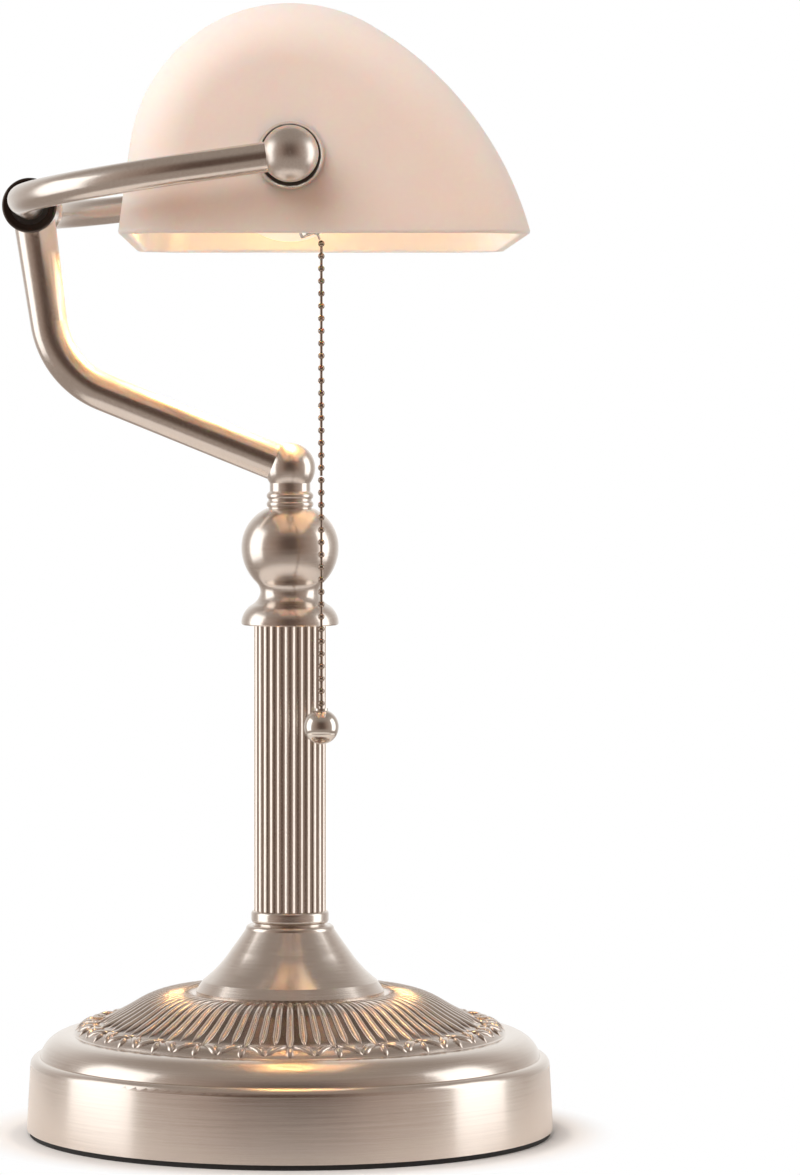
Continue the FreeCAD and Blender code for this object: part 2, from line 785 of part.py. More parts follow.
def yoke_tube():
    tube = yoke_core(yoke_radius)
    inner = yoke_core(yoke_radius - yoke_wall)
    for side in (-1, 1):
        end = V(side * yoke_half_width, yoke_end_gap - past, 0)
        inner = inner.fuse(Part.makeCylinder(yoke_radius - yoke_wall, 2 * past, end, Y_AXIS))
    tube = in_yoke_plane(tube.cut(inner))
    reach = yoke_radius + past
    lead_hole = Part.makeCylinder(yoke_radius / 2, reach, sleeve_center - upper_run * reach, upper_run)
    return tube.cut(lead_hole)


# ---- pivot hardware ----------------------------------------------------------------------------
def arm_ball(side):
    ball = Part.makeSphere(arm_ball_radius, V(0, 0, yoke_half_width))
    boss = cylinder(ball_boss_radius, cup_outer, yoke_half_width - arm_ball_radius / 2)
    body = joined([ball, boss])
    body = body.cut(cylinder(nipple_radius + seat_gap, cup_outer - past, nipple_end))
    body = body.cut(cylinder(nipple_bore, cup_outer - past, yoke_half_width))
    body = along_pivot(body, side)
    arm_start = V(side * yoke_half_width, yoke_end_gap, 0)
    socket = Part.makeCylinder(yoke_radius + seat_gap, arm_ball_radius, arm_start, Y_AXIS)
    lead = Part.makeCylinder(nipple_bore, arm_ball_radius, V(side * yoke_half_width, 0, 0), Y_AXIS)
    return body.cut(in_yoke_plane(socket.fuse(lead)))


def nipple_left():
    inner_end = -socket_hub_end_x - socket_cap_hub_length + nipple_left_reach
    return along_pivot(ring(nipple_radius, nipple_bore, inner_end, nipple_end), -1)


def nipple_right():
    inner_end = clamp_nut_outer - clamp_nut_height - nipple_right_reach
    return along_pivot(ring(nipple_radius, nipple_bore, inner_end, nipple_end), 1)


def cup_washers():
    rim = cup_inner - cup_rim_depth
    seat = rubber_radius + rubber_gap
    rim_back = (cup_radius, rim + cup_rim_width)
    cup = turned(
        (nipple_radius + seat_gap, cup_inner),
        (seat, cup_inner),
        (seat, rim),
        (cup_radius, rim),
        rim_back,
        sagged(rim_back, (cup_back_radius, cup_outer), -cup_sag),
        (nipple_radius + seat_gap, cup_outer),
    )
    return both_ends(cup)


def rubber_washers(low):
    """A soft washer at each end, between a glass face and the hardware next to it."""
    return both_ends(ring(rubber_radius, nipple_radius + rubber_gap, low, low + rubber_thickness))


def clamp_washers():
    bore = nipple_radius + seat_gap
    return both_ends(ring(clamp_washer_radius, bore, clamp_nut_outer, clamp_washer_outer))


def clamp_nuts():
    low = clamp_nut_outer - clamp_nut_height
    return both_ends(hexagon(clamp_nut_flats, nipple_radius + seat_gap, low, clamp_nut_outer))


# ---- glass shade -------------------------------------------------------------------------------
def shade_solid(inset, rim_extra):
    """Closed body of the shade's outline, inset by a wall, with its rim lowered by an extra depth."""
    crown = (0.0, pivot_z - crown_drop)
    turn = math.radians(front_turn_deg)
    shift = front_radius - crown_radius
    front = (shift * math.sin(turn), crown[1] - shift * math.cos(turn))
    rim_z = pivot_z - rim_drop - rim_extra
    rear = crown_radius - inset
    bow = front_radius - inset
    rear_angle = 180 - rear_lean_deg
    rear_tangent = polar(rear, rear_angle, (0.0, crown[1]))
    rear_tangent = (-rear_tangent[0], rear_tangent[1])
    fall = rear_tangent[1] - rim_z
    rear_rim = (rear_tangent[0] + fall * math.tan(math.radians(rear_lean_deg)), rim_z)
    crown_middle = (0.0, crown[1] + rear)
    meet = (-rear * math.sin(turn), crown[1] + rear * math.cos(turn))
    rim_angle = math.asin((rim_z - front[1]) / bow)
    front_rim = (front[0] - bow * math.cos(rim_angle), rim_z)
    half_angle = ((math.pi / 2 - turn) + rim_angle) / 2
    front_middle = (front[0] - bow * math.cos(half_angle), front[1] + bow * math.sin(half_angle))
    start_x = -(shade_half_length - inset)

    def at(point):
        return V(start_x, point[0], point[1])

    outline = Part.Wire([
        Part.makeLine(at(rear_rim), at(rear_tangent)),
        Part.Arc(at(rear_tangent), at(crown_middle), at(meet)).toShape(),
        Part.Arc(at(meet), at(front_middle), at(front_rim)).toShape(),
        Part.makeLine(at(front_rim), at(rear_rim)),
    ])
    body = Part.Face(outline).extrude(V(-2 * start_x, 0, 0))
    end_edges = []
    for edge in body.Edges:
        box = edge.BoundBox
        if box.XLength < tiny and box.ZMax > rim_z + tiny:
            end_edges.append(edge)
    return body.makeFillet(shade_end_round - inset, end_edges)


def shade_glass():
    shell = shade_solid(0, 0).cut(shade_solid(shade_wall, 2 * shade_wall))
    hole_start = V(-shade_half_length - past, 0, pivot_z)
    hole = Part.makeCylinder(shade_hole_radius, 2 * (shade_half_length + past), hole_start, X_AXIS)
    shell = shell.cut(hole)
    lip_edges = [edge for edge in shell.Edges if edge.BoundBox.ZMax < pivot_z - rim_drop + tiny]
    return shell.makeFillet(shade_rim_round, lip_edges)


# ---- socket ------------------------------------------------------------------------------------
def on_socket_axis(shape):
    """Lay a Z-axis part on the pivot axis with its z as X."""
    return along_pivot(shape, 1)


def cap_dome(inset, rim_x):
    """Solid of the socket cap's dome and rim, drawn inset from its outside."""
    hub = socket_cap_hub_radius
    dome_x = socket_hub_end_x + socket_cap_hub_length + inset
    radius = socket_shell_radius + seat_gap + socket_cap_wall - inset
    return turned(
        (0, dome_x),
        (hub, dome_x),
        sagged((hub, dome_x), (radius, socket_back_x - socket_cap_corner), socket_cap_sag - inset / 4),
        (radius, rim_x),
        (0, rim_x),
    )


def socket_cap():
    rim_x = socket_back_x + socket_cap_lap
    dome_x = socket_hub_end_x + socket_cap_hub_length
    hub = cylinder(socket_cap_hub_radius, socket_hub_end_x, dome_x + socket_cap_hub_lap)
    body = cap_dome(0, rim_x).fuse(hub)
    body = body.removeSplitter().cut(cap_dome(socket_cap_wall, rim_x + past))
    bore = cylinder(nipple_radius + seat_gap, socket_hub_end_x - past, dome_x + socket_cap_dome)
    return on_socket_axis(body.cut(bore))


def chain_outlet_hole(shape):
    """Cut the chain guide's hole through a socket part."""
    hole = cylinder(guide_radius + seat_gap, guide_start - loose_gap, 2 * socket_shell_radius)
    return shape.cut(along_outlet(hole))


def socket_shell():
    inner = socket_shell_radius - socket_shell_wall
    shell = ring(socket_shell_radius, inner, socket_back_x, socket_mouth_x)
    return chain_outlet_hole(on_socket_axis(shell))


def socket_liner():
    liner = ring(liner_radius, liner_bore, socket_back_x + liner_recess, socket_mouth_x - liner_recess)
    return chain_outlet_hole(on_socket_axis(liner))


def switch_body():
    body = cylinder(interior_radius, socket_back_x, interior_end_x)
    contact_well = cylinder(contact_radius + contact_gap, interior_end_x - contact_recess,
                            interior_end_x + past)
    body = on_socket_axis(body.cut(contact_well))
    body = chain_outlet_hole(body)
    body = body.cut(along_outlet(cylinder(guide_bore, slug_bore_start, guide_start)))
    for place in terminal_places():
        start = V(socket_back_x - past, *place)
        pocket = Part.makeCylinder(terminal_radius + terminal_gap, terminal_recess + past, start, X_AXIS)
        body = body.cut(pocket)
    return body


def terminal_places():
    """Y and Z of the two wiring screws in the back of the switch body."""
    return [(side * terminal_offset, pivot_z + terminal_offset / 2) for side in (-1, 1)]


def terminal_screws():
    screws = []
    head_x = socket_back_x + terminal_recess - terminal_height
    depth, width = terminal_slot
    for y, z in terminal_places():
        head = Part.makeCylinder(terminal_radius, terminal_height, V(head_x, y, z), X_AXIS)
        corner = V(head_x, y - terminal_radius, z - width / 2)
        screws.append(head.cut(Part.makeBox(depth, 2 * terminal_radius, width, corner)))
    return group(screws)


def screw_shell():
    mouth = socket_mouth_x - screw_shell_recess
    return on_socket_axis(ring(screw_shell_radius, screw_shell_bore, interior_end_x, mouth))


def center_contact():
    return on_socket_axis(cylinder(contact_radius, interior_end_x - contact_recess, tip_x))


def chain_guide():
    bell = guide_radius + guide_lip
    flare_start = (guide_radius, guide_end - guide_flare[0])
    lip_side = (bell, guide_end - guide_lip_round)
    lip_front = (bell - guide_lip_round, guide_end)
    lip_middle = polar(guide_lip_round, 45, (lip_front[0], lip_side[1]))
    body = turned(
        (guide_bore, guide_start),
        (guide_radius, guide_start),
        flare_start,
        sagged(flare_start, lip_side, -guide_flare_sag[0]),
        (lip_middle, lip_front),
        sagged(lip_front, (guide_bore, guide_end - guide_flare[1]), guide_flare_sag[1]),
    )
    return along_outlet(body)


# ---- bulb --------------------------------------------------------------------------------------
def envelope_outline(inset):
    """Half outline of the glass envelope: neck, neck round and globe."""
    neck = bulb_base_radius - bulb_base_wall - seat_gap - inset
    globe = globe_radius - inset
    blend = bulb_neck_round + inset
    back = math.sqrt((globe + blend) ** 2 - (neck + blend) ** 2)
    blend_center = (neck + blend, globe_x - back)
    share = globe / (globe + blend)
    meet = (blend_center[0] * share, globe_x - back * share)
    swing = math.degrees(math.asin((meet[1] - blend_center[1]) / blend))
    neck_start_x = bulb_base_end_x - bulb_neck_depth + inset
    meet_angle = math.degrees(math.atan2(meet[1] - globe_x, meet[0]))
    return half_outline(
        (0, neck_start_x),
        (neck, neck_start_x),
        (neck, blend_center[1]),
        (polar(blend, 180 - swing / 2, blend_center), meet),
        (polar(globe, (90 + meet_angle) / 2, (0, globe_x)), (0, globe_x + globe)),
    )


def bulb_envelope():
    outside = envelope_outline(0).revolve(V(0, 0, 0), Z_AXIS, 360)
    inside = envelope_outline(globe_wall).revolve(V(0, 0, 0), Z_AXIS, 360)
    return on_socket_axis(outside.cut(inside))


def bulb_base():
    inner = bulb_base_radius - bulb_base_wall
    return on_socket_axis(ring(bulb_base_radius, inner, bulb_base_start_x, bulb_base_end_x))


def bulb_insulator():
    low = tip_x + bulb_tip_thickness
    body = turned(
        (0, low),
        (contact_radius + bulb_insulator_lip, low),
        (bulb_base_radius, bulb_base_start_x),
        (0, bulb_base_start_x),
    )
    return on_socket_axis(body)


def bulb_tip():
    return on_socket_axis(cylinder(contact_radius, tip_x, tip_x + bulb_tip_thickness))


# ---- pull chain --------------------------------------------------------------------------------
def bead_string(first, count, link_start, link_end):
    """Beads at a regular pitch down the -Z direction, strung on a thin link."""
    beads = [Part.makeSphere(bead_radius, V(0, 0, first - i * bead_pitch)) for i in range(count)]
    link = cylinder(link_radius, link_end, link_start)
    return joined([link] + beads)


def hanging_point():
    """Centre of the first bead outside the chain guide."""
    tilt = math.radians(chain_tilt_deg)
    return V(chain_x, -chain_hang * math.sin(tilt), pivot_z - chain_hang * math.cos(tilt))


def switch_chain():
    """The slug and beads that slide inside the guide."""
    innermost = chain_hang - inner_bead_count * bead_pitch
    outermost = chain_hang - bead_pitch
    slug_end = innermost - bead_radius - slug_link
    beads = [Part.makeSphere(bead_radius, V(0, 0, innermost + i * bead_pitch))
             for i in range(inner_bead_count)]
    link = cylinder(link_radius, slug_end - slug_link, outermost + bead_pitch - bead_radius - loose_gap)
    slug = cylinder(slug_radius, slug_end - slug_length, slug_end)
    return along_outlet(joined([link, slug] + beads))


def chain_upper():
    top = hanging_point()
    below = (upper_bead_count - 1) * bead_pitch
    end = -below - bead_pitch + bead_radius + loose_gap
    return moved(bead_string(0, upper_bead_count, 0, end), top.x, top.y, top.z)


def lower_top():
    """Centre of the first bead of the lower chain."""
    return hanging_point() - Z_AXIS * (upper_bead_count * bead_pitch)


def end_ball_center():
    return lower_top() - Z_AXIS * ((lower_bead_count - 1) * bead_pitch + end_ball_drop)


def chain_lower():
    top = lower_top()
    end = end_ball_center().z + end_ball_dish_height - top.z
    return moved(bead_string(0, lower_bead_count, 0, end), top.x, top.y, top.z)


def chain_end_ball():
    center = end_ball_center()
    ball = Part.makeSphere(end_ball_radius)
    dish = cylinder(end_ball_dish_radius, end_ball_radius - past, end_ball_dish_height)
    seam_low = -end_ball_seam_drop - end_ball_seam / 2
    seam_floor = end_ball_radius - end_ball_seam_depth
    seam = ring(end_ball_radius + past, seam_floor, seam_low, seam_low + end_ball_seam)
    body = joined([ball, dish]).cut(seam)
    return moved(body, center.x, center.y, center.z)


# ---- all nodes ---------------------------------------------------------------------------------
NODES = {
    "foot_pad": foot_pad,
    "base_plate": base_plate,
    "base_cover": base_cover,
    "base_weight": base_weight,
    "cord_grommet": cord_grommet,
    "stem_washer": stem_washer,
    "stem_nut": stem_nut,
    "threaded_stem": threaded_stem,
    "base_trumpet": base_trumpet,
    "column_collar": column_collar,
    "column_tube": column_tube,
    "column_rings": column_rings,
    "column_cap": column_cap,
    "neck_elbow": neck_elbow,
    "neck_tube": neck_tube,
    "yoke_sleeve": yoke_sleeve,
    "sleeve_bushes": sleeve_bushes,
    "sleeve_grub_screw": sleeve_grub_screw,
    "yoke_tube": yoke_tube,
    "arm_ball_left": lambda: arm_ball(-1),
    "arm_ball_right": lambda: arm_ball(1),
    "nipple_left": nipple_left,
    "nipple_right": nipple_right,
    "cup_washers": cup_washers,
    "outer_rubber_washers": lambda: rubber_washers(shade_half_length),
    "inner_rubber_washers": lambda: rubber_washers(clamp_washer_outer),
    "clamp_washers": clamp_washers,
    "clamp_nuts": clamp_nuts,
    "shade_glass": shade_glass,
    "socket_cap": socket_cap,
    "socket_shell": socket_shell,
    "socket_liner": socket_liner,
    "switch_body": switch_body,
    "terminal_screws": terminal_screws,
    "screw_shell": screw_shell,
    "center_contact": center_contact,
    "chain_guide": chain_guide,
    "bulb_envelope": bulb_envelope,
    "bulb_base": bulb_base,
    "bulb_insulator": bulb_insulator,
    "bulb_tip": bulb_tip,
    "switch_chain": switch_chain,
    "chain_upper": chain_upper,
    "chain_lower": chain_lower,
    "chain_end_ball": chain_end_ball,
}

os.makedirs("parts", exist_ok=True)
for name, build in NODES.items():
    shape = build()
    shape.exportStep("parts/" + name + ".step")
    print(name, len(shape.Solids), shape.isValid(), round(shape.Volume))
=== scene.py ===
"""Looks of the banker desk lamp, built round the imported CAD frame.

Metres; +Z is up, the user sits at -Y and the camera of the main picture looks along +X.
"""
import json
import math

import bpy
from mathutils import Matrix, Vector
from mathutils.bvhtree import BVHTree


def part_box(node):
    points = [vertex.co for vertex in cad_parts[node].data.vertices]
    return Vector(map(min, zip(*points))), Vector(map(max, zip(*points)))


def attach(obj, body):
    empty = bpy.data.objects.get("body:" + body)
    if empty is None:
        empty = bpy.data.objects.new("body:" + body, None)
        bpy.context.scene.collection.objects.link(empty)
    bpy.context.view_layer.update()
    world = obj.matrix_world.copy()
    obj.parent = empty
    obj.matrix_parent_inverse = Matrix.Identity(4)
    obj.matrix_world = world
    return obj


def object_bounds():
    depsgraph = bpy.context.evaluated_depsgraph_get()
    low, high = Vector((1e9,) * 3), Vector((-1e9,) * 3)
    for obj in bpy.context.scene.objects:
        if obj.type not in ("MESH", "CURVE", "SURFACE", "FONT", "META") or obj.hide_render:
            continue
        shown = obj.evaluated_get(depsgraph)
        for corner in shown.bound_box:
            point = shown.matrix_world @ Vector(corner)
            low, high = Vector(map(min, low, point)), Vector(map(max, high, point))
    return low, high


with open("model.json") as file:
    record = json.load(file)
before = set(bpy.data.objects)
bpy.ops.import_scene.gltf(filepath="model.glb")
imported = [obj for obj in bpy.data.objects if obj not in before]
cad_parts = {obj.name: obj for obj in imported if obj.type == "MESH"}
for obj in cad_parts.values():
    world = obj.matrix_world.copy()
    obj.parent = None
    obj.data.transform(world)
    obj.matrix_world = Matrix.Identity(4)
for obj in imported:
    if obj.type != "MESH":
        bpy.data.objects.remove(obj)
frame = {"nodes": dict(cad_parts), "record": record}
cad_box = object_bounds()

NODES = frame["nodes"]
MM = 0.001

# Radii on the base's dome: its crest, and the pressed band of ribs that fork into points.
CREST = 37.45 * MM
BAND_START = 33.2 * MM
RIB_END = 63.8 * MM
FORK = 65.4 * MM
TIP = 72.0 * MM


# ---- camera ------------------------------------------------------------------------------------
EYE_DISTANCE = 1.725
EYE_HEIGHT = 0.249
EYE_PITCH_DEG = 2.15
LENS = 156.9
FRAME_SHIFT = 0.0936       # the lamp stands left of the picture's middle
FAR_CLIP = 50.0


def make_camera():
    data = bpy.data.cameras.new("camera")
    data.lens = LENS
    data.sensor_width = 36.0
    data.clip_end = FAR_CLIP
    camera = bpy.data.objects.new("camera", data)
    bpy.context.scene.collection.objects.link(camera)
    data.shift_x = FRAME_SHIFT
    pitch = math.radians(EYE_PITCH_DEG)
    look = Vector((math.cos(pitch), 0, -math.sin(pitch)))
    camera.location = (-EYE_DISTANCE, 0, EYE_HEIGHT)
    camera.rotation_euler = look.to_track_quat("-Z", "Y").to_euler()
    bpy.context.scene.camera = camera


# ---- material recipes --------------------------------------------------------------------------
class Recipe:
    """A material built node by node round one Principled shader."""

    def __init__(self, name, **sockets):
        self.material = bpy.data.materials.new(name)
        self.material.use_nodes = True
        self.tree = self.material.node_tree
        self.shader = self.tree.nodes["Principled BSDF"]
        for socket, value in sockets.items():
            self.shader.inputs[socket.replace("_", " ")].default_value = value

    @classmethod
    def of(cls, owner):
        """Recipe for adding to a material that is already built, or to a world."""
        recipe = cls.__new__(cls)
        recipe.material = owner
        recipe.tree = owner.node_tree
        recipe.shader = recipe.tree.nodes.get("Principled BSDF")
        return recipe

    def add(self, kind, inputs=None, **settings):
        """A new node: inputs are values or other nodes' outputs, settings are its properties."""
        node = self.tree.nodes.new(kind)
        for name, value in settings.items():
            setattr(node, name, value)
        for socket, value in (inputs or {}).items():
            if isinstance(value, bpy.types.NodeSocket):
                self.tree.links.new(value, node.inputs[socket])
            else:
                node.inputs[socket].default_value = value
        return node

    def math(self, operation, first, second=0.0):
        return self.add("ShaderNodeMath", {0: first, 1: second}, operation=operation).outputs[0]

    def length(self, vector):
        return self.add("ShaderNodeVectorMath", {0: vector}, operation="LENGTH").outputs["Value"]

    def direction(self, vector):
        return self.add("ShaderNodeVectorMath", {0: vector}, operation="NORMALIZE").outputs[0]

    def split(self, vector):
        return self.add("ShaderNodeSeparateXYZ", {0: vector}).outputs

    def flattened(self, vector, *kept):
        """The vector with only some of its axes kept."""
        parts = self.split(vector)
        return self.add("ShaderNodeCombineXYZ", {axis: parts[axis] for axis in kept}).outputs[0]

    def position(self):
        return self.add("ShaderNodeTexCoord").outputs["Object"]

    def stretched(self, scale):
        """Object position, scaled per axis."""
        return self.add("ShaderNodeMapping", {"Vector": self.position(), "Scale": scale}).outputs[0]

    def noise(self, vector, scale=1.0, detail=2.0, roughness=0.55, w=None):
        inputs = {"Vector": vector, "Scale": scale, "Detail": detail, "Roughness": roughness}
        dimensions = "3D"
        if w is not None:
            inputs["W"] = w
            dimensions = "4D"
        return self.add("ShaderNodeTexNoise", inputs, noise_dimensions=dimensions).outputs["Fac"]

    def range(self, value, low, high, start=0.25, end=0.75):
        """Remap a 0 to 1 value into a range."""
        inputs = {"Value": value, "From Min": start, "From Max": end, "To Min": low, "To Max": high}
        return self.add("ShaderNodeMapRange", inputs).outputs[0]

    def step(self, value, start, end, first=0.0, last=1.0):
        """Smooth step of a value from first to last between start and end."""
        inputs = {"Value": value, "From Min": start, "From Max": end, "To Min": first, "To Max": last}
        return self.add("ShaderNodeMapRange", inputs, interpolation_type="SMOOTHSTEP").outputs[0]

    def blend(self, factor, first, second):
        """Mix two colours, each a triple or another node's output."""
        node = self.add("ShaderNodeMix", data_type="RGBA")
        self.tree.links.new(factor, node.inputs[0])
        for socket, color in ((node.inputs[6], first), (node.inputs[7], second)):
            if isinstance(color, bpy.types.NodeSocket):
                self.tree.links.new(color, socket)
            else:
                socket.default_value = (*color, 1)
        return node.outputs[2]

    def set(self, socket, output):
        self.tree.links.new(output, self.shader.inputs[socket])

    def bump(self, height, strength, distance):
        inputs = {"Height": height, "Strength": strength, "Distance": distance}
        self.set("Normal", self.add("ShaderNodeBump", inputs).outputs[0])


LATHE_STREAKS = 2600       # brushing lines per metre of radius or height
STREAK_REPEATS = 2.2       # how often a line changes on its way round


def turned_lines(recipe):
    """Noise whose streaks run round the Z axis, as brushing on a lathe leaves them."""
    flat = recipe.flattened(recipe.position(), 0, 1)
    around = recipe.split(recipe.direction(flat))
    across = recipe.math("MULTIPLY", recipe.length(flat), LATHE_STREAKS)
    along_x = recipe.math("MULTIPLY", around[0], STREAK_REPEATS)
    along_y = recipe.math("MULTIPLY", around[1], STREAK_REPEATS)
    vector = recipe.add("ShaderNodeCombineXYZ", {0: along_x, 1: along_y, 2: across}).outputs[0]
    height = recipe.split(recipe.position())[2]
    return recipe.noise(vector, w=recipe.math("MULTIPLY", height, LATHE_STREAKS))


NICKEL_DARK = (0.68, 0.61, 0.555)
NICKEL_LIGHT = (0.78, 0.72, 0.665)
BRUSHING_SPREAD = 0.6      # how much more the brushed lines scatter light across than along them
QUARTER_TURN = 0.25
FINE_GRAIN = 0.1 * MM      # depth of the grain on cast and moulded faces
BRUSHING_DEPTH = 0.04 * MM


def satin_nickel(name, brushing, rough=(0.17, 0.26)):
    """Warm satin nickel plate.  brushing is turned, or the scale of the streaks along each axis."""
    recipe = Recipe(name, Metallic=1.0)
    if brushing == "turned":
        streaks = turned_lines(recipe)
        recipe.shader.inputs["Anisotropic"].default_value = BRUSHING_SPREAD
        recipe.shader.inputs["Anisotropic Rotation"].default_value = QUARTER_TURN
        tangent = recipe.add("ShaderNodeTangent", direction_type="RADIAL", axis="Z").outputs[0]
        recipe.set("Tangent", tangent)
    else:
        streaks = recipe.noise(recipe.stretched(brushing))
    smudges = recipe.noise(recipe.stretched((38, 38, 38)), detail=4.0)
    fine = recipe.math("MULTIPLY", streaks, 0.7)
    tone = recipe.math("ADD", fine, recipe.math("MULTIPLY", smudges, 0.3))
    recipe.set("Base Color", recipe.blend(recipe.range(tone, 0, 1), NICKEL_DARK, NICKEL_LIGHT))
    recipe.set("Roughness", recipe.range(tone, *rough))
    recipe.bump(streaks, 0.12, BRUSHING_DEPTH)
    return recipe.material


def bright_nickel():
    recipe = Recipe("bright_nickel", Metallic=1.0, Roughness=0.1)
    tarnish = recipe.noise(recipe.stretched((260, 260, 260)), detail=4.0)
    recipe.set("Base Color", recipe.blend(tarnish, (0.62, 0.57, 0.51), (0.84, 0.80, 0.75)))
    recipe.set("Roughness", recipe.range(tarnish, 0.06, 0.18))
    return recipe.material


def plain_metal(name, dark, light, rough_low, rough_high, grain=420, relief=0.1):
    """Plated or cast metal with a fine grain."""
    recipe = Recipe(name, Metallic=1.0)
    spots = recipe.noise(recipe.stretched((grain, grain, grain)), detail=5.0)
    recipe.set("Base Color", recipe.blend(recipe.range(spots, 0, 1), dark, light))
    recipe.set("Roughness", recipe.range(spots, rough_low, rough_high))
    recipe.bump(spots, relief, FINE_GRAIN)
    return recipe.material


def moulded(name, dark, light, rough_low, rough_high, grain=1500, relief=0.15):
    """Rubber, plastic or fibre with a fine moulded grain."""
    recipe = Recipe(name, Metallic=0.0)
    spots = recipe.noise(recipe.stretched((grain, grain, grain)), detail=3.0)
    recipe.set("Base Color", recipe.blend(recipe.range(spots, 0, 1), dark, light))
    recipe.set("Roughness", recipe.range(spots, rough_low, rough_high))
    recipe.bump(spots, relief, FINE_GRAIN)
    return recipe.material


def opal_glass():
    """Cased opal glass: a satin face over a milky body that lets some of the bulb's light through."""
    recipe = Recipe("opal_glass", Subsurface_Weight=1.0, Subsurface_Scale=6 * MM, Roughness=0.36,
                    Specular_IOR_Level=0.05, IOR=1.5, Subsurface_Radius=(1.0, 0.62, 0.45))
    clouds = recipe.noise(recipe.stretched((9, 16, 16)), detail=3.0)
    milk = recipe.blend(recipe.range(clouds, 0, 1), (0.875, 0.785, 0.74), (0.91, 0.825, 0.78))
    recipe.set("Base Color", milk)
    seeds = recipe.noise(recipe.stretched((60, 60, 60)), detail=2.0)
    recipe.set("Roughness", recipe.range(seeds, 0.33, 0.40))
    recipe.bump(clouds, 0.2, 0.3 * MM)
    return recipe.material


def frosted_bulb():
    """Frosted envelope of a lit warm-white bulb."""
    recipe = Recipe("frosted_glass", Roughness=0.45, Specular_IOR_Level=0.0, Emission_Strength=0.55)
    frost = recipe.noise(recipe.stretched((700, 700, 700)), detail=3.0)
    recipe.set("Base Color", recipe.blend(frost, (0.80, 0.72, 0.62), (0.86, 0.79, 0.70)))
    recipe.set("Emission Color", recipe.blend(frost, (1.0, 0.77, 0.55), (1.0, 0.81, 0.60)))
    recipe.bump(frost, 0.1, FINE_GRAIN)
    return recipe.material


def darkened(recipe, share, dark):
    """Mix a dark tone into a finished material's colour by a share."""
    clean = recipe.shader.inputs["Base Color"].links[0].from_socket
    recipe.set("Base Color", recipe.blend(share, clean, dark))
    return recipe.material


def cup_nickel():
    """Bright cup whose inside, behind the rim, carries painted shade: a near-black colour where the cup
    lies in shadow.
    """
    recipe = Recipe("cup_nickel", Metallic=1.0)
    low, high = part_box("cup_washers")
    pivot = (0, 0, (low[2] + high[2]) / 2)
    offset = recipe.add("ShaderNodeVectorMath", {0: recipe.position(), 1: pivot}, operation="SUBTRACT")
    radius = recipe.length(recipe.flattened(offset.outputs[0], 1, 2))
    spots = recipe.noise(recipe.stretched((500, 500, 500)), detail=3.0)
    shade_edge_radius = recipe.math("ADD", radius, recipe.math("MULTIPLY", spots, 0.6 * MM))
    # Painted shade: inside this ragged radius the cup is coloured near-black, standing in for the
    # shadow between ball and cup.
    rim = recipe.step(shade_edge_radius, 9.8 * MM, 10.4 * MM)
    recipe.set("Base Color", recipe.blend(rim, (0.05, 0.038, 0.032), (0.80, 0.76, 0.71)))
    recipe.set("Roughness", recipe.range(rim, 0.45, 0.14, 0.0, 1.0))
    return recipe.material


# Painted shade for the pressed band: its colour, and how much of it lies between the ribs and between
# the points.
BAND_SHADE_TONE = (0.13, 0.085, 0.065)
BAND_SHADE_SHARE = 0.8         # between the ribs
POINTS_SHADE_SHARE = 0.3         # of that, between the points


def cover_nickel():
    """Turned nickel with painted shade: a dark brown tone laid in the gaps of the pressed band, where
    shade falls between the ribs.
    """
    recipe = Recipe.of(satin_nickel("satin_nickel_cover", "turned"))
    radius = recipe.length(recipe.flattened(recipe.position(), 0, 1))
    inner = recipe.step(radius, CREST - 5 * MM, CREST, 0.0, BAND_SHADE_SHARE)
    outer = recipe.step(radius, RIB_END - 1.5 * MM, RIB_END + 1 * MM, 1.0, POINTS_SHADE_SHARE)
    edge = recipe.step(radius, TIP - 0.5 * MM, TIP + 1.2 * MM, 1.0, 0.0)
    # Painted shade: most between the ribs, less between the points, none beyond the tips.
    painted_shade = recipe.math("MULTIPLY", recipe.math("MULTIPLY", inner, outer), edge)
    return darkened(recipe, painted_shade, BAND_SHADE_TONE)


SLEEVE_END_TONE = (0.05, 0.037, 0.032)
SLEEVE_END_SHARE = 0.93


def sleeve_nickel():
    """Brushed sleeve, coloured dark at its cut ends."""
    recipe = Recipe.of(satin_nickel("satin_nickel_sleeve", BRUSHING))
    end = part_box("yoke_sleeve")[1][0]
    across = recipe.math("ABSOLUTE", recipe.split(recipe.position())[0])
    end_tone = recipe.step(across, end - 0.9 * MM, end - 0.5 * MM, 0.0, SLEEVE_END_SHARE)
    return darkened(recipe, end_tone, SLEEVE_END_TONE)


# ---- materials on the CAD nodes ----------------------------------------------------------------
# Streaks per metre along X, Y and Z.
BRUSHING = (2400, 1100, 1700)
DRAWING = (3200, 3200, 40)
CASTING = (900, 1500, 1500)
PRESSING = (1500, 1500, 900)


def assign(node, material):
    for slot in NODES[node].material_slots:
        slot.material = material


